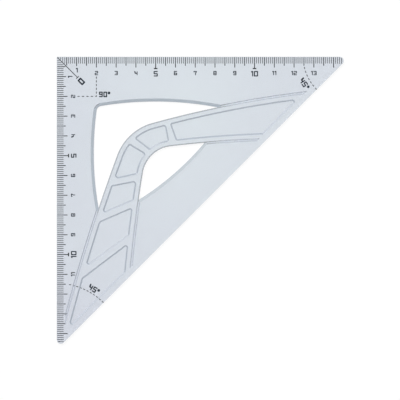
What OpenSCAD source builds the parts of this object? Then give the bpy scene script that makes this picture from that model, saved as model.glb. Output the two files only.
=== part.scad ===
// Clear 45 degree set square with a grip arm moulded across its window and scales printed on its underside.
// Everything is drawn with x along the top leg and y down the side leg, both from the right-angle corner, as
// the scales read. Each node is then flipped once, so that +X is to the right, +Y up the sheet and +Z up.

/* [Plate] */
// Length of each leg to its sharp tip, before the tip is rounded
leg = 148; // [140:1:180]
// Thickness of the sheet
plate_t = 2; // [1.8:0.1:3]
// Radius of the two 45 degree tips
tip_r = 2.05; // [1.5:0.05:3]
// Width of the bevel along the long edge
long_bevel_w = 1.75; // [1:0.05:2.5]
// Drop of that bevel at the edge
long_bevel_drop = 0.35; // [0.1:0.05:0.8]

/* [Window] */
// Width of the top bar where it is narrowest
top_bar = 22.6; // [20:0.1:24]
// Distance of that place from the corner
top_bar_at = 49.9; // [45:0.1:55]
// Radius of the window's top edge
top_edge_r = 169; // [150:1:190]
// Width of the side bar where it is narrowest
side_bar = 18.7; // [16:0.1:20]
// Distance of that place from the corner
side_bar_at = 48.6; // [45:0.1:52]
// Radius of the window's side edge
side_edge_r = 161; // [145:1:180]
// Width of the long bar where it is narrowest
long_bar = 20.6; // [18:0.1:23]
// Distance of that place from the middle of the long edge, towards the upper tip
long_bar_at = 10; // [6:0.1:14]
// Radius of the window's edge on the long bar
long_edge_r = 142; // [125:1:160]
// Radius of the window's rounded corner
window_corner_r = 2.8; // [1.5:0.1:5]
// Width of the bevel on the top bar and side bar
window_bevel_w = 1.55; // [0.6:0.05:1.8]
// Width of the bevel on the long bar
long_bar_bevel_w = 1.5; // [1:0.05:2]
// Depth of the window's bevels
window_bevel_depth = 1.2; // [0.8:0.05:1.5]

/* [Grip arm] */
// Distance from the corner, along each leg, at which the arm's edges are set out
arm_station = 80; // [75:0.5:85]
// Side limb: outer edge from the side leg at the station
side_outer_at = 19.95; // [19:0.05:21]
// Side limb: angle of the outer edge from the side leg
side_outer_lean = 18.25; // [17:0.05:20]
// Side limb: radius of the outer edge
side_outer_r = 885; // [700:5:1100]
// Side limb: inner edge from the side leg at the station
side_inner_at = 40.4; // [39:0.1:42]
// Side limb: angle of the inner edge from the side leg
side_inner_lean = 7.4; // [6.5:0.1:8.5]
// Side limb: radius of the inner edge
side_inner_r = 728; // [600:5:900]
// Top limb: outer edge from the top leg at the station
top_outer_at = 25.8; // [25:0.1:27]
// Top limb: angle of the outer edge from the top leg
top_outer_lean = 11.85; // [11:0.05:13]
// Top limb: radius of the outer edge
top_outer_r = 519; // [450:5:600]
// Top limb: inner edge from the top leg at the station
top_inner_at = 43.05; // [42:0.05:44]
// Top limb: angle of the inner edge from the top leg
top_inner_lean = 4.45; // [3.5:0.05:5.5]
// Top limb: radius of the inner edge
top_inner_r = 551; // [450:5:650]
// Radius of the arm's outer bend
outer_bend_r = 26.5; // [23:0.5:29]
// Radius of the arm's inner bend
inner_bend_r = 16; // [13:0.5:19]

/* [Grooves beside the arm] */
// Depth of the grooves and of the arm's sloped edges
groove_depth = 0.5; // [0.3:0.05:0.8]
// Width of each sloped groove wall
groove_wall_w = 0.6; // [0.3:0.05:0.8]
// Width of the groove's flat floor
groove_floor_w = 0.33; // [0.2:0.01:0.6]
// Distance from the long edge at which the grooves end
groove_end_gap = 2.9; // [2.6:0.1:5]
// Distance from the side leg at which the outermost groove ends
groove_side_gap = 4.2; // [4:0.1:6]

/* [Pockets in the arm] */
// Depth of the pockets
pocket_depth = 0.5; // [0.3:0.05:0.8]
// Width of the sloped pocket walls
pocket_wall_w = 0.75; // [0.5:0.05:0.8]
// Width of the rim between the arm's edge and a pocket
rim_w = 2.4; // [2:0.1:3]
// Width of the ribs between pockets
rib_w = 2.8; // [2:0.1:4]
// Distance of the end pockets from the long edge
pocket_end_gap = 3.1; // [2.8:0.1:5]
// Radius of the pockets' widely rounded corners
wide_corner_r = 2.6; // [2:0.1:3]
// Radius of the pockets' moderately rounded corners
mid_corner_r = 1.6; // [1.2:0.1:2]
// Radius of the pockets' tight corners
tight_corner_r = 1.2; // [1.1:0.05:1.3]

/* [Printed marks] */
// Thickness of the print, which is stamped flush into the underside
mark_t = 0.05; // [0.02:0.01:0.1]
// Bare margin between the plate's edges and the print
print_margin = 0.15; // [0.1:0.05:0.3]
// Least distance from the end of a rounded tip to the last tick
tick_end_gap = 1; // [0.8:0.1:5]
// Length of a millimetre tick, from the edge
mm_tick = 3.4; // [2.5:0.1:4]
// Length of a half-centimetre tick, from the edge
half_tick = 4.5; // [4.1:0.1:5]
// Length of a centimetre tick, from the edge
cm_tick = 5.4; // [5.1:0.1:6]
// Length of the first centimetre tick, which makes room for its numeral
first_cm_tick = 4.7; // [4.2:0.1:5.4]
// Line width of the millimetre ticks
mm_line = 0.3; // [0.1:0.01:0.4]
// Line width of the longer ticks
cm_line = 0.42; // [0.1:0.01:0.5]
// Distance from the edge to the far side of the bar on every fifth centimetre tick
five_bar_end = 6.2; // [5.7:0.1:6.5]
// Length of that bar
five_bar_l = 1.8; // [1:0.1:2.5]
// Width of that bar
five_bar_w = 0.55; // [0.3:0.05:0.6]
// Distance of the zero line's end bar from both legs
zero_end = 10.45; // [9:0.05:11]
// Width of the zero line
zero_line_w = 0.39; // [0.2:0.01:0.5]
// Length of the zero line's end bar
zero_bar_l = 1.85; // [1:0.05:2.5]
// Clear gap between ticks and the zero line
zero_gap = 0.1; // [0.05:0.01:0.3]
// Distance of the right-angle mark from both legs
square_at = 20; // [18:0.5:22]
// First dash of the mark's upright arm, from the top leg
upright_from = 10.5; // [9:0.1:12]
// Number of dashes on the upright arm, before its corner
upright_dashes = 5; // [3:1:6]
// First dash of the mark's level arm, from the side leg
level_from = 11; // [9:0.1:12]
// Number of dashes on the level arm, before its corner
level_dashes = 4; // [3:1:6]
// Length of a dash
dash_l = 1.1; // [0.6:0.05:1.4]
// Width of a dash
dash_w = 0.38; // [0.2:0.01:0.5]
// Radius of the 45 degree arc about the upper tip
upper_arc_r = 23.4; // [20:0.1:26]
// Angle from the top leg to the first dash of that arc
upper_arc_from = 14; // [12.5:0.1:18]
// Number of dashes in that arc
upper_arc_dashes = 7; // [5:1:8]
// Radius of the 45 degree arc about the lower tip
lower_arc_r = 33.4; // [28:0.1:36]
// Angle from the side leg to the first dash of that arc
lower_arc_from = 11.6; // [9.5:0.1:15]
// Number of dashes in that arc
lower_arc_dashes = 11; // [8:1:14]

/* [Hidden] */
$fn = 240;

// How far cutters run past the faces that they cut
over = 0.2;
// Longer than anything on the plate
span = 2 * leg;
// How far a rounding is let out, so that it crosses the edges that it joins instead of just touching them
ease = 0.02;
// Distance of the long edge from the corner
long_edge_at = leg / sqrt(2);
// Unit vector from the corner square to the long edge
to_long_edge = [1, 1] / sqrt(2);
// Distance from a sharp tip, along its leg, to where the rounding starts
tip_back = tip_r / tan(22.5);

plastic = [0.84, 0.87, 0.9, 0.55];
ink = [0.05, 0.05, 0.06];

function unit(v) = v / norm(v);
function heading(a) = [cos(a), sin(a)];

// Each outline below is a list [c1, r1, c2, r2, r]: two arcs, by centre and radius, and the radius of the
// bend that joins them. Its inside is on the hollow side of both arcs.

// Arc centre from a point on the arc, the angle towards the centre, and the radius
function arc_centre(p, a, r) = p + r * heading(a);

window_edge = [
    [top_bar_at, top_bar + top_edge_r],
    top_edge_r,
    [side_bar + side_edge_r, side_bar_at],
    side_edge_r,
    window_corner_r,
];
arm_outer = [
    arc_centre([side_outer_at, arm_station], side_outer_lean, side_outer_r),
    side_outer_r,
    arc_centre([arm_station, top_outer_at], 90 - top_outer_lean, top_outer_r),
    top_outer_r,
    outer_bend_r,
];
arm_inner = [
    arc_centre([side_inner_at, arm_station], side_inner_lean, side_inner_r),
    side_inner_r,
    arc_centre([arm_station, top_inner_at], 90 - top_inner_lean, top_inner_r),
    top_inner_r,
    inner_bend_r,
];
long_edge_centre = (long_edge_at - long_bar - long_edge_r) * to_long_edge
    + long_bar_at * [1, -1] / sqrt(2);

// Centre of an outline's bend: on the corner's side, the bend's radius inside both arcs
function bend_centre(e) =
    let (a = e[1] - e[4], b = e[3] - e[4], across = e[2] - e[0], d = norm(across))
    let (x = (a * a - b * b + d * d) / (2 * d), foot = e[0] + x * unit(across))
    let (side = sqrt(a * a - x * x) * [-across.y, across.x] / d)
    side.x + side.y < 0 ? foot + side : foot - side;

// Directions from the bend's centre to its two ends
function bend_sides(e) = [unit(bend_centre(e) - e[0]), unit(bend_centre(e) - e[2])];

// What rounding a corner takes off from height z1 to z2. The rounding is about c, with radius r1 at z1 and r2
// at z2, and the directions u1 and u2 lead from c to the two edges that it joins.
module corner_waste(c, u1, u2, r1, r2, z1, z2) {
    reach = 2 * max(r1, r2) / (1 + u1 * u2);
    difference() {
        translate([0, 0, z1]) linear_extrude(z2 - z1)
            polygon([c, c + reach * u1, c + reach * (u1 + u2), c + reach * u2]);
        frustum(c, r1 + ease, r2 + ease, z1, z2);
    }
}

// Inside of an outline from height z1 to z2, all its radii grown by g1 at z1 and by g2 at z2
module within(e, z1, z2, g1 = 0, g2 = 0) {
    u = bend_sides(e);
    difference() {
        intersection() {
            frustum(e[0], e[1] + g1, e[1] + g2, z1, z2);
            frustum(e[2], e[3] + g1, e[3] + g2, z1, z2);
        }
        corner_waste(bend_centre(e), u[0], u[1], e[4] + g1, e[4] + g2, z1, z2);
    }
}

// Round solid about c, with radius r1 at height z1 and r2 at z2
module frustum(c, r1, r2, z1, z2)
    translate([c.x, c.y, z1]) cylinder(h = z2 - z1, r1 = r1, r2 = r2);

// Triangle with rounded tips
module outline() {
    tip = [leg - tip_back, tip_r];
    touch = tip + tip_r * to_long_edge;
    polygon([
        [0, 0],
        [tip.x, 0],
        touch,
        [touch.y, touch.x],
        [0, tip.x],
    ]);
    translate(tip) circle(tip_r);
    translate([tip.y, tip.x]) circle(tip_r);
}

// Space cut through the plate, before the arm is put back
module window() {
    shelf = plate_t - window_bevel_depth;
    grow = (window_bevel_depth + over) / window_bevel_depth;
    intersection() {
        union() {
            within(window_edge, -over, shelf);
            within(window_edge, shelf, plate_t + over, 0, window_bevel_w * grow);
        }
        union() {
            frustum(long_edge_centre, long_edge_r, long_edge_r, -over, shelf);
            frustum(
                long_edge_centre, long_edge_r, long_edge_r + long_bar_bevel_w * grow, shelf, plate_t + over
            );
        }
    }
}

// Arm between its two edges, at full thickness
module arm()
    difference() {
        within(arm_outer, -2 * over, plate_t + 2 * over);
        within(arm_inner, -3 * over, plate_t + 3 * over);
    }

// Grooves where the arm runs over the plate, and the arm's sloped edges where it crosses the window
module grooves() {
    low = plate_t - groove_depth;
    high = plate_t + over;
    rise = groove_wall_w * (groove_depth + over) / groove_depth;
    under = groove_wall_w * over / groove_depth;
    intersection() {
        union() {
            difference() {
                within(arm_outer, low, high, groove_floor_w, groove_floor_w + rise);
                within(arm_outer, low - over, high + over, under, -rise - under);
            }
            difference() {
                within(arm_inner, low, high, 0, rise);
                within(
                    arm_inner, low - over, high + over, under - groove_floor_w, -groove_floor_w - rise - under
                );
            }
        }
        translate([0, 0, low - over]) linear_extrude(high - low + 2 * over) groove_limits();
    }
}

// Grooves stay clear of the long edge and of the side scale
module groove_limits() {
    far = leg - groove_end_gap * sqrt(2);
    polygon([
        [groove_side_gap, 0],
        [far, 0],
        [groove_side_gap, far - groove_side_gap],
    ]);
}

// Bevel along the long edge
module long_bevel()
    translate([leg / 2, leg / 2, plate_t]) rotate([0, 0, 45]) rotate([90, 0, 0])
        linear_extrude(span, center = true)
            polygon([
                [-long_bevel_w, 0],
                [over, -long_bevel_drop * (1 + over / long_bevel_w)],
                [over, over],
                [-long_bevel_w, over],
            ]);

// Ribs between the pockets, from the lower tip to the upper one: a point on the rib's middle, then the angles
// from the top leg of its faces towards the pocket before and the pocket after
ribs = [
    [[26.4, 99.6], -37.1, -36.4],
    [[30.9, 77.6], -23.4, -23.3],
    [[35, 62.1], -11, -12.6],
    [[42.5, 45.6], 31.6, 37.3],
    [[57.7, 39.5], 79.1, 69.8],
];
// Corner radii of each pocket: outer start, outer finish, inner start, inner finish
pocket_corners = [
    [tight_corner_r, wide_corner_r, wide_corner_r, tight_corner_r],
    [tight_corner_r, wide_corner_r, wide_corner_r, tight_corner_r],
    [tight_corner_r, tight_corner_r, mid_corner_r, mid_corner_r],
    [mid_corner_r, tight_corner_r, mid_corner_r, tight_corner_r],
    [tight_corner_r, mid_corner_r, tight_corner_r, tight_corner_r],
    [tight_corner_r, tight_corner_r, tight_corner_r, tight_corner_r],
];
pocket_floor = plate_t - pocket_depth;
pocket_top = plate_t + over;
// How far a pocket's wall leans out above the plate's face
pocket_flare = pocket_wall_w * over / pocket_depth;

// Straight pocket walls, as [point, direction into the pocket]
end_wall = [(long_edge_at - pocket_end_gap) * to_long_edge, -to_long_edge];
function across_rib(a) = [sin(a), -cos(a)];
function start_wall(k) =
    k == 0 ? end_wall
    : let (rib = ribs[k - 1], n = across_rib(rib[2])) [rib[0] + rib_w / 2 * n, n];
function finish_wall(k) =
    k == len(ribs) ? end_wall
    : let (rib = ribs[k], n = -across_rib(rib[1])) [rib[0] + rib_w / 2 * n, n];

// Distances from q along the direction d to where it enters and leaves the circle about c
function half_chord(q, d, c, r) = sqrt(max(0, r * r - pow(norm(q - c), 2) + pow((q - c) * d, 2)));
function entry(q, d, c, r) = -(q - c) * d - half_chord(q, d, c, r);
function leave(q, d, c, r) = -(q - c) * d + half_chord(q, d, c, r);

// Is p in the wedge that an outline's bend takes up?
function in_bend(e, p) =
    let (v = p - bend_centre(e), u = bend_sides(e), turn = cross(u[0], u[1]))
    cross(v, u[1]) / turn > 0 && cross(u[0], v) / turn > 0;

// Arcs that an outline is made of, as [centre, radius], the bend last
function arcs(e) = [[e[0], e[1]], [e[2], e[3]], [bend_centre(e), e[4] + ease]];

// Rounded corners of a pocket, as [centre, direction to the straight wall, direction to the rim, radius]. The
// line d runs along the straight wall towards the rim, one corner radius inside the pocket, and the corner's
// centre is where it comes to the arcs that bound the pocket, or to the bend in the bend's own wedge.
function outer_corner(wall, d, r) =
    let (q = wall[0] + r * wall[1], a = arcs(arm_outer))
    let (t = [for (arc = a) leave(q, d, arc[0], arc[1] - rim_w - r)])
    let (bend = in_bend(arm_outer, q + t[2] * d) ? t[2] : t[0], first = min(t[0], t[1], bend))
    let (p = q + first * d)
    [p, -wall[1], unit(p - a[search(first, t)[0]][0]), r];
function inner_corner(wall, d, r) =
    let (q = wall[0] + r * wall[1], a = arcs(arm_inner))
    let (t = [for (arc = a) entry(q, d, arc[0], arc[1] + rim_w + r)])
    let (bend = in_bend(arm_inner, q + t[2] * d) ? t[2] : t[0], last = max(t[0], t[1], bend))
    let (p = q + last * d)
    [p, -wall[1], unit(a[search(last, t)[0]][0] - p), r];
function corners(k) =
    let (a = start_wall(k), b = finish_wall(k), r = pocket_corners[k])
    let (in_a = [-a[1].y, a[1].x], in_b = [b[1].y, -b[1].x])
    [
        outer_corner(a, -in_a, r[0]),
        outer_corner(b, -in_b, r[1]),
        inner_corner(a, in_a, r[2]),
        inner_corner(b, in_b, r[3]),
    ];

// Everything on the inner side of a straight pocket wall
module beside(wall)
    translate([wall[0].x, wall[0].y, 0]) rotate([0, 0, atan2(wall[1].y, wall[1].x)]) rotate([90, 0, 0])
        linear_extrude(span, center = true)
            polygon([
                [pocket_wall_w, pocket_floor],
                [span, pocket_floor],
                [span, pocket_top],
                [-pocket_flare, pocket_top],
            ]);

// Recess number k along the arm, with sloped walls and rounded corners
module pocket(k) {
    low = pocket_floor - over;
    high = pocket_top + over;
    difference() {
        intersection() {
            within(arm_outer, pocket_floor, pocket_top, -rim_w - pocket_wall_w, -rim_w + pocket_flare);
            beside(start_wall(k));
            beside(finish_wall(k));
            // the limb that the pocket is in
            if (k == 0)
                translate([0, 0, low]) linear_extrude(high - low) polygon([[0, 0], [leg, leg], [0, leg]]);
        }
        within(arm_inner, low, high, rim_w + pocket_wall_w + pocket_flare, rim_w - 2 * pocket_flare);
        for (corner = corners(k)) {
            r = corner[3];
            corner_waste(
                corner[0], corner[1], corner[2], r - pocket_wall_w, r + pocket_flare, pocket_floor, pocket_top
            );
        }
    }
}

// Millimetres from the corner at which each kind of tick, and the bar on a tick, repeats
half_step = 5;
cm_step = 10;
bar_step = 50;
last_tick = floor(leg - tip_back + tip_r - tick_end_gap);
mm_values = [for (x = [1:last_tick]) if (x % half_step != 0) x];
half_values = [half_step:cm_step:last_tick];
cm_values = [cm_step:cm_step:last_tick];

// Where a tick at x starts, inside the rounded tip
function tick_from(x, w) =
    let (past = x + w / 2 - (leg - tip_back), r = tip_r - print_margin)
    past < 0 ? print_margin : tip_r - sqrt(r * r - past * past);
// Length of the centimetre tick at x: one with a bar runs to the bar's far side
function cm_length(x) = x % bar_step == 0 ? five_bar_end : x == cm_step ? first_cm_tick : cm_tick;
// Where the zero line stops a tick at x
function tick_stop(x, w) = x - w / 2 - zero_line_w / sqrt(2) - zero_gap * sqrt(2);

module tick(x, l, w) {
    from = tick_from(x, w);
    translate([x - w / 2, from]) square([w, min(l, tick_stop(x, w)) - from]);
}

// The printed marks below are flat shapes

module millimetre_ticks()
    for (x = mm_values) tick(x, mm_tick, mm_line);

module half_centimetre_ticks()
    for (x = half_values) tick(x, half_tick, cm_line);

module centimetre_ticks()
    for (x = cm_values) {
        tick(x, cm_length(x), cm_line);
        if (x % bar_step == 0)
            translate([x - five_bar_l / 2, five_bar_end - five_bar_w]) square([five_bar_l, five_bar_w]);
    }

module zero_mark() {
    start = print_margin * sqrt(2) + zero_line_w / 2;
    end = zero_end * sqrt(2);
    rotate(45) {
        translate([start, -zero_line_w / 2]) square([end - start, zero_line_w]);
        translate([end - zero_line_w / 2, -zero_bar_l / 2]) square([zero_line_w, zero_bar_l]);
    }
}

module dash()
    square([dash_l, dash_w], center = true);

module right_angle_mark() {
    upright_pitch = (square_at - upright_from) / upright_dashes;
    level_pitch = (square_at - level_from) / level_dashes;
    for (i = [0:upright_dashes - 1])
        translate([square_at, upright_from + i * upright_pitch]) rotate(90) dash();
    for (i = [0:level_dashes - 1])
        translate([level_from + i * level_pitch, square_at]) dash();
    // the corner, where the two arms meet
    translate([square_at, square_at]) {
        translate([-dash_l / 2, -dash_w / 2]) square([dash_l / 2 + dash_w / 2, dash_w]);
        translate([-dash_w / 2, -dash_l / 2]) square([dash_w, dash_l / 2 + dash_w / 2]);
    }
}

// Dashes of an arc about the origin, from an angle up to the long edge at 45 degrees
module arc_dashes(r, from, n) {
    last = 45 - (print_margin + dash_l / 2) / r * 180 / PI;
    step = (last - from) / (n - 1);
    for (i = [0:n - 1]) rotate(from + i * step) translate([r, 0]) rotate(90) dash();
}

module upper_tip_arc()
    translate([leg, 0]) mirror([1, 0]) arc_dashes(upper_arc_r, upper_arc_from, upper_arc_dashes);

module lower_tip_arc()
    translate([0, leg]) rotate(-90) arc_dashes(lower_arc_r, lower_arc_from, lower_arc_dashes);

// The side scale is the top scale turned over the corner's diagonal
module over_diagonal()
    mirror([1, -1]) children();

module all_marks() {
    millimetre_ticks();
    half_centimetre_ticks();
    centimetre_ticks();
    over_diagonal() millimetre_ticks();
    over_diagonal() half_centimetre_ticks();
    over_diagonal() centimetre_ticks();
    zero_mark();
    right_angle_mark();
    upper_tip_arc();
    lower_tip_arc();
}

module flipped()
    mirror([0, 1, 0]) children();

module print()
    color(ink) flipped() linear_extrude(mark_t) children();

module plate()
    color(plastic) flipped()
        difference() {
            linear_extrude(plate_t) outline();
            difference() {
                window();
                arm();
            }
            grooves();
            for (k = [0:len(ribs)]) pocket(k);
            long_bevel();
            translate([0, 0, -over]) linear_extrude(over + mark_t) all_marks();
        }

module top_scale_millimetre_ticks()
    print() millimetre_ticks();

module top_scale_half_centimetre_ticks()
    print() half_centimetre_ticks();

module top_scale_centimetre_ticks()
    print() centimetre_ticks();

module side_scale_millimetre_ticks()
    print() over_diagonal() millimetre_ticks();

module side_scale_half_centimetre_ticks()
    print() over_diagonal() half_centimetre_ticks();

module side_scale_centimetre_ticks()
    print() over_diagonal() centimetre_ticks();

module zero_line()
    print() zero_mark();

module right_angle_dashes()
    print() right_angle_mark();

module upper_tip_arc_dashes()
    print() upper_tip_arc();

module lower_tip_arc_dashes()
    print() lower_tip_arc();

plate();
top_scale_millimetre_ticks();
top_scale_half_centimetre_ticks();
top_scale_centimetre_ticks();
side_scale_millimetre_ticks();
side_scale_half_centimetre_ticks();
side_scale_centimetre_ticks();
zero_line();
right_angle_dashes();
upper_tip_arc_dashes();
lower_tip_arc_dashes();
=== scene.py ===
import math

import bmesh
import bpy
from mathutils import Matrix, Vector


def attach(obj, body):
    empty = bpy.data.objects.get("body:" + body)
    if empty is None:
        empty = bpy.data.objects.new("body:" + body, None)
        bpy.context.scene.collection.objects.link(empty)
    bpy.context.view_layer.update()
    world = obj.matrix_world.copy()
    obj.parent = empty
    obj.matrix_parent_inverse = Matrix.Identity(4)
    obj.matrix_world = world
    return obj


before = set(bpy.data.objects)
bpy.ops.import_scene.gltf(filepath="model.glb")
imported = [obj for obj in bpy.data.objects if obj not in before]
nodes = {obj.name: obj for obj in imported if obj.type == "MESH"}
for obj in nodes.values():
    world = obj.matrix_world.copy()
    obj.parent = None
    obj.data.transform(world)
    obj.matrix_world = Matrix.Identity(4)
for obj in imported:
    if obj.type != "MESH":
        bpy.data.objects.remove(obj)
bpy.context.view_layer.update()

MM = 0.001

# The part of a noise's range that is spread over the full range of what it drives
NOISE_LOW = 0.3
NOISE_HIGH = 0.7


def new_material(name):
    """A material with an empty tree, its tree and its output node."""
    material = bpy.data.materials.new(name)
    material.use_nodes = True
    tree = material.node_tree
    tree.nodes.clear()
    output = tree.nodes.new("ShaderNodeOutputMaterial")
    return material, tree, output


def noise(tree, coords, scale, detail, stretch=(1, 1, 1), turn=0.0):
    """A noise texture in metres, stretched and turned about Z."""
    mapping = tree.nodes.new("ShaderNodeMapping")
    mapping.inputs["Scale"].default_value = stretch
    mapping.inputs["Rotation"].default_value = (0, 0, turn)
    texture = tree.nodes.new("ShaderNodeTexNoise")
    texture.inputs["Scale"].default_value = scale
    texture.inputs["Detail"].default_value = detail
    tree.links.new(coords, mapping.inputs["Vector"])
    tree.links.new(mapping.outputs["Vector"], texture.inputs["Vector"])
    return texture.outputs["Fac"]


def spread(tree, value, low, high, out_low, out_high):
    """Maps a value from one range to another, held at the ends."""
    node = tree.nodes.new("ShaderNodeMapRange")
    node.inputs["From Min"].default_value = low
    node.inputs["From Max"].default_value = high
    node.inputs["To Min"].default_value = out_low
    node.inputs["To Max"].default_value = out_high
    tree.links.new(value, node.inputs["Value"])
    return node.outputs["Result"]


def tint(tree, value, first, second):
    """A colour between two others, by a value from 0 to 1."""
    node = tree.nodes.new("ShaderNodeMix")
    node.data_type = "RGBA"
    node.inputs["A"].default_value = (*first, 1)
    node.inputs["B"].default_value = (*second, 1)
    tree.links.new(value, node.inputs["Factor"])
    return node.outputs["Result"]


def add(tree, first, second):
    """The sum of two values."""
    node = tree.nodes.new("ShaderNodeMath")
    node.operation = "ADD"
    tree.links.new(first, node.inputs[0])
    tree.links.new(second, node.inputs[1])
    return node.outputs[0]


def bump(tree, shader, height, strength, depth):
    """Gives a shader a bumpy normal, from a height and the depth in metres that it stands for."""
    node = tree.nodes.new("ShaderNodeBump")
    node.inputs["Strength"].default_value = strength
    node.inputs["Distance"].default_value = depth
    tree.links.new(height, node.inputs["Height"])
    tree.links.new(node.outputs["Normal"], shader.inputs["Normal"])


def seen(tree):
    """1 for a ray from the camera, or one that a surface mirrors or lets through, and 0 for others."""
    path = tree.nodes.new("ShaderNodeLightPath")
    result = path.outputs["Is Camera Ray"]
    for ray in ("Is Glossy Ray", "Is Transmission Ray"):
        either = tree.nodes.new("ShaderNodeMath")
        either.operation = "MAXIMUM"
        tree.links.new(result, either.inputs[0])
        tree.links.new(path.outputs[ray], either.inputs[1])
        result = either.outputs[0]
    return result


# Where a tint by place has its first colour, and how far from there it reaches its second
TINT_FROM = (67 * MM, -27 * MM, 0)
TINT_REACH = 125 * MM


def depth_by_place(tree, coords):
    """0 to 1 with the distance from where the tint starts."""
    node = tree.nodes.new("ShaderNodeVectorMath")
    node.operation = "DISTANCE"
    node.inputs[1].default_value = TINT_FROM
    tree.links.new(coords, node.inputs[0])
    return spread(tree, node.outputs["Value"], 0, TINT_REACH, 0, 1)


# A painted highlight by side: walls that face the upper left, towards the lamp, get the paler second colour
# as painted highlight. The side that has it, and the shares of a wall's normal towards it where that colour
# starts and is full
PAINTED_HIGHLIGHT_SIDE = (-0.656, 0.755, 0)
HIGHLIGHT_START = 0.49
HIGHLIGHT_FULL = 0.55


def depth_by_side(tree):
    """0 to 1 as a wall turns towards the upper left, where its paler colour is a painted highlight."""
    node = tree.nodes.new("ShaderNodeVectorMath")
    node.operation = "DOT_PRODUCT"
    node.inputs[1].default_value = PAINTED_HIGHLIGHT_SIDE
    tree.links.new(tree.nodes.new("ShaderNodeTexCoord").outputs["Normal"], node.inputs[0])
    return spread(tree, node.outputs["Value"], HIGHLIGHT_START, HIGHLIGHT_FULL, 0, 1)


# Two sets of fine scratches: the noise's scale, stretch and turn, and its values where a scratch starts and
# where it is full
SCRATCH_SETS = (
    {"scale": 160, "stretch": 34, "turn": 0.7, "start": 0.66, "full": 0.76},
    {"scale": 130, "stretch": 40, "turn": -0.35, "start": 0.67, "full": 0.77},
)
SCRATCH_DETAIL = 4


def scratches(tree, coords):
    """0 on bare plastic and 1 in a scratch, or 2 where one of each set cross."""
    layers = []
    for kind in SCRATCH_SETS:
        grain = noise(tree, coords, kind["scale"], SCRATCH_DETAIL, (1, kind["stretch"], 1), kind["turn"])
        layers.append(spread(tree, grain, kind["start"], kind["full"], 0, 1))
    return add(tree, *layers)


# The plastic's refraction, and its mirroring as a share of the full
PLASTIC_IOR = 1.49
SHEEN = 0.4
# The moulding's flow: its noise, how far it shifts the tint either way, and the depth of its wave
FLOW_SCALE = 14
FLOW_DETAIL = 2
FLOW_TINT = 0.15
FLOW_DEPTH = 0.02 * MM
# The haze's noise, and what crossing scratches add to the roughness and take from the wave
HAZE_SCALE = 90
HAZE_DETAIL = 3
SCRATCH_ROUGH = 0.16
SCRATCH_CUT = -0.3


def plastic(name, first, second, clear, smooth, rough, wave, paint_highlight=False):
    """Moulded plastic with a tint that changes unevenly, by place or as painted highlight by side, fine
    scratches and a wave.
    """
    material, tree, output = new_material(name)
    coords = tree.nodes.new("ShaderNodeTexCoord").outputs["Object"]
    shader = tree.nodes.new("ShaderNodeBsdfPrincipled")
    shader.inputs["IOR"].default_value = PLASTIC_IOR
    shader.inputs["Specular Tint"].default_value = (SHEEN, SHEEN, SHEEN, 1)
    shader.inputs["Transmission Weight"].default_value = clear
    flow = noise(tree, coords, FLOW_SCALE, FLOW_DETAIL)
    # By side, the mix of the two colours is a painted highlight on walls that face the lamp
    depth = depth_by_side(tree) if paint_highlight else depth_by_place(tree, coords)
    uneven = add(tree, depth, spread(tree, flow, NOISE_LOW, NOISE_HIGH, -FLOW_TINT, FLOW_TINT))
    tree.links.new(tint(tree, uneven, first, second), shader.inputs["Base Color"])
    marks = scratches(tree, coords)
    most = len(SCRATCH_SETS)
    haze = spread(tree, noise(tree, coords, HAZE_SCALE, HAZE_DETAIL), NOISE_LOW, NOISE_HIGH, smooth, rough)
    dulled = add(tree, haze, spread(tree, marks, 0, most, 0, SCRATCH_ROUGH))
    tree.links.new(dulled, shader.inputs["Roughness"])
    height = add(tree, flow, spread(tree, marks, 0, most, 0, SCRATCH_CUT))
    bump(tree, shader, height, wave, FLOW_DEPTH)
    tree.links.new(shader.outputs["BSDF"], output.inputs["Surface"])
    return material


# The ink: its noise, the noise values of full and of thin cover, their colours, its gloss and its grain
COVER_SCALE = 900
COVER_DETAIL = 4
COVER_FULL = 0.35
COVER_THIN = 0.75
INK_FULL = (0.002, 0.011, 0.026)
INK_THIN = (0.012, 0.03, 0.054)
INK_SPECULAR = 0.3
INK_SMOOTH = 0.5
INK_ROUGH = 0.75
INK_GRAIN = 0.3
INK_GRAIN_DEPTH = 0.01 * MM


def printing(name):
    """Matt black screen print, a little uneven in its cover."""
    material, tree, output = new_material(name)
    coords = tree.nodes.new("ShaderNodeTexCoord").outputs["Object"]
    shader = tree.nodes.new("ShaderNodeBsdfPrincipled")
    shader.inputs["Specular IOR Level"].default_value = INK_SPECULAR
    cover = noise(tree, coords, COVER_SCALE, COVER_DETAIL)
    thin = spread(tree, cover, COVER_FULL, COVER_THIN, 0, 1)
    tree.links.new(tint(tree, thin, INK_FULL, INK_THIN), shader.inputs["Base Color"])
    roughness = spread(tree, cover, NOISE_LOW, NOISE_HIGH, INK_SMOOTH, INK_ROUGH)
    tree.links.new(roughness, shader.inputs["Roughness"])
    bump(tree, shader, cover, INK_GRAIN, INK_GRAIN_DEPTH)
    tree.links.new(shader.outputs["BSDF"], output.inputs["Surface"])
    return material


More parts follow.
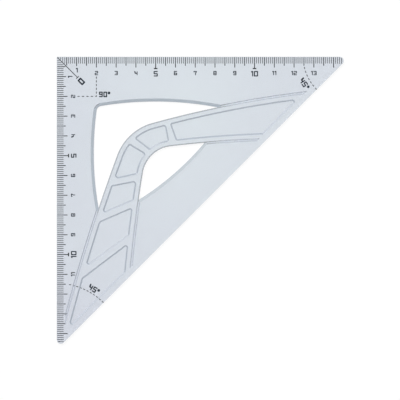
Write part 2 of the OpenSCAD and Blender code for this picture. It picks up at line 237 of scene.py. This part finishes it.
# Finishes of the plate, each with its first and second colour and how clear it is, and the ink. The colours
# of the sloped walls, darker than the clear plate's, are painted shade on top of the lamp's own shading, and
# the arm edges' painted shade is deepest where the tint by place starts; on the bevels and pocket walls the
# paler second colour is a painted highlight on the side that faces the lamp
GLOSSY = {"smooth": 0.0, "rough": 0.015, "wave": 0.06}
SATIN = {"smooth": 0.08, "rough": 0.16, "wave": 0.2}
DULL = {"smooth": 0.14, "rough": 0.24, "wave": 0.2}
DULL_PAINTED_HIGHLIGHT = {**DULL, "paint_highlight": True}
PLATE_FINISHES_AND_PAINTED_LIGHT = {
    "clear": plastic("clear_plate", (0.713, 0.766, 0.806), (0.658, 0.688, 0.755), 1.0, **GLOSSY),
    "bevel": plastic("window_bevels", (0.501, 0.569, 0.644), (0.537, 0.59, 0.635), 0.35, **DULL_PAINTED_HIGHLIGHT),
    "pocket": plastic("pocket_walls", (0.39, 0.443, 0.514), (0.563, 0.609, 0.687), 0.45, **DULL_PAINTED_HIGHLIGHT),
    "groove": plastic("groove_walls", (0.482, 0.538, 0.612), (0.488, 0.527, 0.617), 0.6, **DULL),
    "edge": plastic("arm_edges", (0.324, 0.353, 0.38), (0.47, 0.512, 0.556), 0.6, **DULL),
    "rim": plastic("cut_rims", (0.69, 0.74, 0.78), (0.7, 0.73, 0.785), 0.4, **SATIN),
}
ink = printing("black_ink")

# The upward part of a face's normal: flats have more than the first, pocket walls more than the second, and
# upright faces less than the third
FLAT_COS = 0.97
POCKET_COS = 0.8
STEEP_COS = 0.08
# The height that only the window's bevels reach below
BEVEL_LOW = 1.2 * MM
# The circle within which the arm's sloped edges stand free in the window, and aren't walls of a groove
FREE_CENTRE = (21 * MM, -10.9 * MM)
FREE_REACH = 67.2 * MM


def finish_of(face, mesh):
    """Which finish a face of the plate has, and with it any painted shade or highlight."""
    up = face.normal.z
    if up < -STEEP_COS or up > FLAT_COS:
        return "clear"
    if up < STEEP_COS:
        return "rim"
    if min(mesh.vertices[i].co.z for i in face.vertices) < BEVEL_LOW:
        return "bevel"
    if up > POCKET_COS:
        return "pocket"
    return "edge" if math.dist(face.center[:2], FREE_CENTRE) < FREE_REACH else "groove"


def dress_plate(plate):
    """Gives each face of the plate its finish, with any painted shade or highlight that comes with it."""
    plate.data.materials.clear()
    for material in PLATE_FINISHES_AND_PAINTED_LIGHT.values():
        plate.data.materials.append(material)
    order = list(PLATE_FINISHES_AND_PAINTED_LIGHT)
    for face in plate.data.polygons:
        face.material_index = order.index(finish_of(face, plate.data))


dress_plate(nodes["plate"])
for name, node in nodes.items():
    if name != "plate":
        node.data.materials.clear()
        node.data.materials.append(ink)

# Lettering, in mm: the layer that it fills above the underside
PRINT_TOP = 0.05
PRINT_BOTTOM = 0.002
# Its corners: the radii of outward and inward ones as shares of the stroke, the most of a side that one takes
# up, and the steps of each
OUTWARD_R = 0.55
INWARD_R = 0.2
CORNER_SHARE = 0.48
CORNER_STEPS = 5
DISC_STEPS = 32


def glyph(char, w, h, s):
    """The outlines of a digit w wide and h high with strokes s wide, from its lower left corner."""
    # Both sides of each stroke, from left to right and from the bottom up
    x0, x1, x2, x3 = 0, s, w - s, w
    y0, y1, y2, y3, y4, y5 = 0, s, (h - s) / 2, (h + s) / 2, h - s, h
    box = [(x0, y0), (x3, y0), (x3, y5), (x0, y5)]
    whole_hole = [(x1, y1), (x1, y4), (x2, y4), (x2, y1)]
    lower_hole = [(x1, y1), (x1, y2), (x2, y2), (x2, y1)]
    upper_hole = [(x1, y3), (x1, y4), (x2, y4), (x2, y3)]
    # The flag of the 1
    flag_x = 0.4 * s
    flag_top = y4 + 0.3 * s
    flag_foot = y4 - 0.4 * s
    # The bar, slant and stem of the 4
    bar_x = 0.16 * w
    bar_foot = 0.34 * h
    bar_top = bar_foot + s
    slant_x = 0.22 * w + s
    slant_y = 0.75 * h
    stem_top = 0.92 * h
    # The stem, slant and tail of the 7
    leg_left = 0.44 * w
    leg_right = leg_left + s
    leg_inner = 0.5 * h
    leg_outer = 0.45 * h
    lean = 0.3 * s
    tail_x = 0.9 * s
    tail_y = y4 - 0.8 * s
    shapes = {
        "0": [box, whole_hole],
        "1": [[(x2, y0), (x3, y0), (x3, y5), (flag_x, y5), (x0, flag_top), (x0, flag_foot), (x2, flag_foot)]],
        "2": [[(x0, y0), (x3, y0), (x3, y1), (x1, y1), (x1, y2), (x3, y2),
               (x3, y5), (x0, y5), (x0, y4), (x2, y4), (x2, y3), (x0, y3)]],
        "3": [[(x0, y0), (x3, y0), (x3, y5), (x0, y5), (x0, y4), (x2, y4),
               (x2, y3), (x1, y3), (x1, y2), (x2, y2), (x2, y1), (x0, y1)]],
        "4": [[(x0, y5), (x1, y5), (slant_x, bar_top), (x2, bar_top), (x2, stem_top), (x3, stem_top),
               (x3, y0), (x2, y0), (x2, bar_foot), (bar_x, bar_foot), (x0, slant_y)]],
        "5": [[(x0, y0), (x3, y0), (x3, y3), (x1, y3), (x1, y4), (x3, y4),
               (x3, y5), (x0, y5), (x0, y2), (x2, y2), (x2, y1), (x0, y1)]],
        "6": [[(x0, y0), (x3, y0), (x3, y3), (x1, y3), (x1, y4), (x3, y4), (x3, y5), (x0, y5)], lower_hole],
        "7": [[(x0, y5), (x3, y5), (x3, y4 - lean), (leg_right, leg_outer), (leg_right, y0), (leg_left, y0),
               (leg_left, leg_inner), (x2 - lean, y4), (tail_x, y4), (tail_x, tail_y), (x0, tail_y)]],
        "8": [box, lower_hole, upper_hole],
        "9": [[(x0, y0), (x3, y0), (x3, y5), (x0, y5), (x0, y2), (x2, y2), (x2, y1), (x0, y1)], upper_hole],
    }
    return shapes[char]


def rounded(loop, outward_r, inward_r):
    """A loop with its corners rounded, the outward ones by one radius and the inward ones by another."""
    count = len(loop)
    points = [Vector(p) for p in loop]
    area = sum(points[i].x * points[i - 1].y - points[i - 1].x * points[i].y for i in range(count))
    turning = -1 if area > 0 else 1
    result = []
    for i, corner in enumerate(points):
        back = points[i - 1] - corner
        ahead = points[(i + 1) % count] - corner
        half = back.angle(ahead) / 2
        outward = (ahead.x * back.y - ahead.y * back.x) * turning > 0
        wanted = (outward_r if outward else inward_r) / math.tan(half)
        cut = min(wanted, CORNER_SHARE * back.length, CORNER_SHARE * ahead.length)
        r = cut * math.tan(half)
        start = corner + back.normalized() * cut
        finish = corner + ahead.normalized() * cut
        centre = corner + (back.normalized() + ahead.normalized()).normalized() * (r / math.sin(half))
        first = start - centre
        last = finish - centre
        swing = last.angle_signed(first)
        for k in range(CORNER_STEPS + 1):
            turn = swing * k / CORNER_STEPS
            across = first.x * math.cos(turn) - first.y * math.sin(turn)
            along = first.x * math.sin(turn) + first.y * math.cos(turn)
            result.append(centre + Vector((across, along)))
    return result


def disc(radius):
    """The outline of a disc about the origin."""
    angles = [2 * math.pi * k / DISC_STEPS for k in range(DISC_STEPS)]
    return [Vector((radius * math.cos(angle), radius * math.sin(angle))) for angle in angles]


def add_solid(mesh, loops, place):
    """Adds a closed prism of print with these outlines; place turns a point in mm into one of the drawing."""
    edges = []
    for loop in loops:
        verts = [mesh.verts.new((place(p).x * MM, place(p).y * MM, PRINT_BOTTOM * MM)) for p in loop]
        edges += [mesh.edges.new((verts[i - 1], verts[i])) for i in range(len(verts))]
    filled = bmesh.ops.triangle_fill(mesh, edges=edges, use_beauty=True)
    faces = [g for g in filled["geom"] if isinstance(g, bmesh.types.BMFace)]
    grown = bmesh.ops.extrude_face_region(mesh, geom=faces, use_keep_orig=True)
    for vert in grown["geom"]:
        if isinstance(vert, bmesh.types.BMVert):
            vert.co.z = PRINT_TOP * MM


def turned(at, angle):
    """A placing that turns a point by an angle in degrees and moves it to a place on the drawing."""
    cos = math.cos(math.radians(angle))
    sin = math.sin(math.radians(angle))
    return lambda p: Vector((at[0] + p.x * cos - p.y * sin, at[1] + p.x * sin + p.y * cos))


def add_digits(mesh, word, at, angle, w, h, s, gap=0.0, narrow=0.0):
    """Digits in a row, centred on a place; narrow is the width of the digit 1."""
    widths = [narrow if char == "1" else w for char in word]
    left = -(sum(widths) + gap * (len(word) - 1)) / 2
    for char, width in zip(word, widths):
        loops = [rounded(loop, OUTWARD_R * s, INWARD_R * s) for loop in glyph(char, width, h, s)]
        loops = [[p + Vector((left, -h / 2)) for p in loop] for loop in loops]
        add_solid(mesh, loops, turned(at, angle))
        left += width + gap


def settle(items, place):
    """Sorts a mesh's points or faces by place, so that each run has them in the same order."""
    rank = {item: i for i, item in enumerate(sorted(items, key=place))}
    items.sort(key=rank.get)
    items.index_update()


def finish_print(name, mesh):
    """Makes one piece of print from a mesh, riding on the plate."""
    bmesh.ops.recalc_face_normals(mesh, faces=mesh.faces)
    settle(mesh.verts, lambda vert: vert.co[:])
    settle(mesh.faces, lambda face: face.calc_center_median()[:])
    data = bpy.data.meshes.new(name)
    mesh.to_mesh(data)
    mesh.free()
    data.materials.append(ink)
    piece = bpy.data.objects.new(name, data)
    bpy.context.scene.collection.objects.link(piece)
    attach(piece, "root")


# Numerals of the scales, in mm: most of a size, the fives and tens larger, the first one taller and bolder
CENTIMETRE = 10
LAST_ON_TOP = 13
LAST_ON_SIDE = 11
SMALL = {"w": 1.65, "h": 2.15, "s": 0.44, "gap": 0.28, "narrow": 0.9}
LARGE = {"w": 2.1, "h": 2.8, "s": 0.55, "gap": 0.35, "narrow": 1.1}
FIRST = {"w": 1.65, "h": 2.35, "s": 0.47, "gap": 0.28, "narrow": 0.96}
# How far the numerals and the first one start from the edge, and how far the first one is aside of its mark
NUMERAL_EDGE = 7.15
FIRST_EDGE = 5.6
FIRST_ASIDE = 0.12


def scale_numerals(name, last, along_top):
    """The numbers of one scale, each at its centimetre mark with its top towards the edge."""
    mesh = bmesh.new()
    for number in range(1, last + 1):
        digits = FIRST if number == 1 else LARGE if number % 5 == 0 else SMALL
        edge = FIRST_EDGE if number == 1 else NUMERAL_EDGE
        middle = edge + digits["h"] / 2
        run = number * CENTIMETRE + (FIRST_ASIDE if number == 1 else 0)
        at = (run, -middle) if along_top else (middle, -run)
        add_digits(mesh, str(number), at, 0 if along_top else 90, **digits)
    finish_print(name, mesh)


scale_numerals("top_scale_numerals", LAST_ON_TOP, True)
scale_numerals("side_scale_numerals", LAST_ON_SIDE, False)

# The zero at the corner, turned to stand across the zero line
ZERO = {"w": 2.36, "h": 3.58, "s": 0.76}
ZERO_AT = (12.4, -12.45)
ZERO_TURN = 45
zero_mesh = bmesh.new()
add_digits(zero_mesh, "0", ZERO_AT, ZERO_TURN, **ZERO)
finish_print("zero_numeral", zero_mesh)

# The angle labels: digits and a round degree mark beside their upper right corner
RIGHT_ANGLE = {"w": 1.9, "h": 2.85, "s": 0.58, "gap": 0.33}
TIP_ANGLE = {"w": 2.05, "h": 2.95, "s": 0.62, "gap": 0.33}
DEGREE_R = 0.7
DEGREE_ASIDE = 0.93
# The place and turn of each label
RIGHT_ANGLE_AT = (23.38, -19.0)
UPPER_TIP_AT = (124.8, -12.92)
UPPER_TIP_TURN = -57
LOWER_TIP_AT = (18.12, -117.1)
LOWER_TIP_TURN = -33


def angle_label(name, word, at, angle, digits):
    """Two digits centred on a place, with their degree mark."""
    mesh = bmesh.new()
    add_digits(mesh, word, at, angle, **digits)
    beside = digits["w"] + digits["gap"] / 2 + DEGREE_ASIDE
    above = digits["h"] / 2 - DEGREE_R
    place = turned(at, angle)
    add_solid(mesh, [disc(DEGREE_R)], lambda p: place(p + Vector((beside, above))))
    finish_print(name, mesh)


angle_label("right_angle_label", "90", RIGHT_ANGLE_AT, 0, RIGHT_ANGLE)
angle_label("upper_tip_label", "45", UPPER_TIP_AT, UPPER_TIP_TURN, TIP_ANGLE)
angle_label("lower_tip_label", "45", LOWER_TIP_AT, LOWER_TIP_TURN, TIP_ANGLE)

# Floor: half its width, its place below the part, its noise and tones, and its own light where it is seen
FLOOR_HALF = 6.0
FLOOR_DROP = 0.05 * MM
FLOOR_SCALE = 30
FLOOR_DETAIL = 2
FLOOR_DARK = (0.115, 0.115, 0.115)
FLOOR_PALE = (0.121, 0.121, 0.121)
FLOOR_LIFT = 0.9


def floor_finish():
    """A floor that is white where the camera sees it or the plastic shows it, and keeps a shadow."""
    material, tree, output = new_material("white_floor")
    coords = tree.nodes.new("ShaderNodeTexCoord").outputs["Object"]
    shader = tree.nodes.new("ShaderNodeBsdfDiffuse")
    tone = spread(tree, noise(tree, coords, FLOOR_SCALE, FLOOR_DETAIL), NOISE_LOW, NOISE_HIGH, 0, 1)
    tree.links.new(tint(tree, tone, FLOOR_DARK, FLOOR_PALE), shader.inputs["Color"])
    lift = tree.nodes.new("ShaderNodeEmission")
    tree.links.new(spread(tree, seen(tree), 0, 1, 0, FLOOR_LIFT), lift.inputs["Strength"])
    both = tree.nodes.new("ShaderNodeAddShader")
    tree.links.new(shader.outputs["BSDF"], both.inputs[0])
    tree.links.new(lift.outputs["Emission"], both.inputs[1])
    tree.links.new(both.outputs["Shader"], output.inputs["Surface"])
    return material


def make_floor():
    """A wide square floor just below the part."""
    corners = ((-1, -1), (1, -1), (1, 1), (-1, 1))
    mesh = bpy.data.meshes.new("floor")
    mesh.from_pydata([(x * FLOOR_HALF, y * FLOOR_HALF, -FLOOR_DROP) for x, y in corners], [], [(0, 1, 2, 3)])
    mesh.materials.append(floor_finish())
    floor = bpy.data.objects.new("floor", mesh)
    bpy.context.scene.collection.objects.link(floor)


make_floor()

# The world's light on the part
WORLD_LEVEL = 0.35


def make_world():
    """A pale world, white where it is seen."""
    world = bpy.data.worlds.new("studio")
    bpy.context.scene.world = world
    world.use_nodes = True
    tree = world.node_tree
    tree.nodes.clear()
    shader = tree.nodes.new("ShaderNodeBackground")
    shader.inputs["Color"].default_value = (1, 1, 1, 1)
    tree.links.new(spread(tree, seen(tree), 0, 1, WORLD_LEVEL, 1), shader.inputs["Strength"])
    output = tree.nodes.new("ShaderNodeOutputWorld")
    tree.links.new(shader.outputs["Background"], output.inputs["Surface"])


make_world()

# The width of the drawing that the picture shows, and the place at its middle
PICTURE_W = 202.4 * MM
PICTURE_CENTRE = (72.42 * MM, -72.42 * MM)
# The lamp: its width in metres, its power in watts and its place as seen from the picture's middle
LAMP_SIZE = 2.3
LAMP_ENERGY = 77
LAMP_DISTANCE = 3.0
LAMP_ELEVATION = math.radians(56)
LAMP_AZIMUTH = math.radians(115)
# The camera's height in metres and the width of its sensor in mm
CAMERA_HEIGHT = 2.0
SENSOR_W = 36.0


def make_lamp():
    """One large soft lamp from the upper left."""
    data = bpy.data.lights.new("soft_lamp", "AREA")
    data.shape = "DISK"
    data.size = LAMP_SIZE
    data.energy = LAMP_ENERGY
    lamp = bpy.data.objects.new("soft_lamp", data)
    reach = math.cos(LAMP_ELEVATION) * LAMP_DISTANCE
    rise = math.sin(LAMP_ELEVATION) * LAMP_DISTANCE
    aim = Vector((reach * math.cos(LAMP_AZIMUTH), reach * math.sin(LAMP_AZIMUTH), rise))
    lamp.location = Vector((*PICTURE_CENTRE, 0)) + aim
    lamp.rotation_euler = aim.to_track_quat("Z", "Y").to_euler()
    bpy.context.scene.collection.objects.link(lamp)


def make_camera():
    """A camera that looks straight down, as in the picture, with a long lens."""
    data = bpy.data.cameras.new("camera")
    data.sensor_width = SENSOR_W
    data.lens = SENSOR_W * CAMERA_HEIGHT / PICTURE_W
    camera = bpy.data.objects.new("camera", data)
    camera.location = (*PICTURE_CENTRE, CAMERA_HEIGHT)
    bpy.context.scene.collection.objects.link(camera)
    bpy.context.scene.camera = camera


make_lamp()
make_camera()
bpy.context.scene.view_settings.view_transform = "Standard"
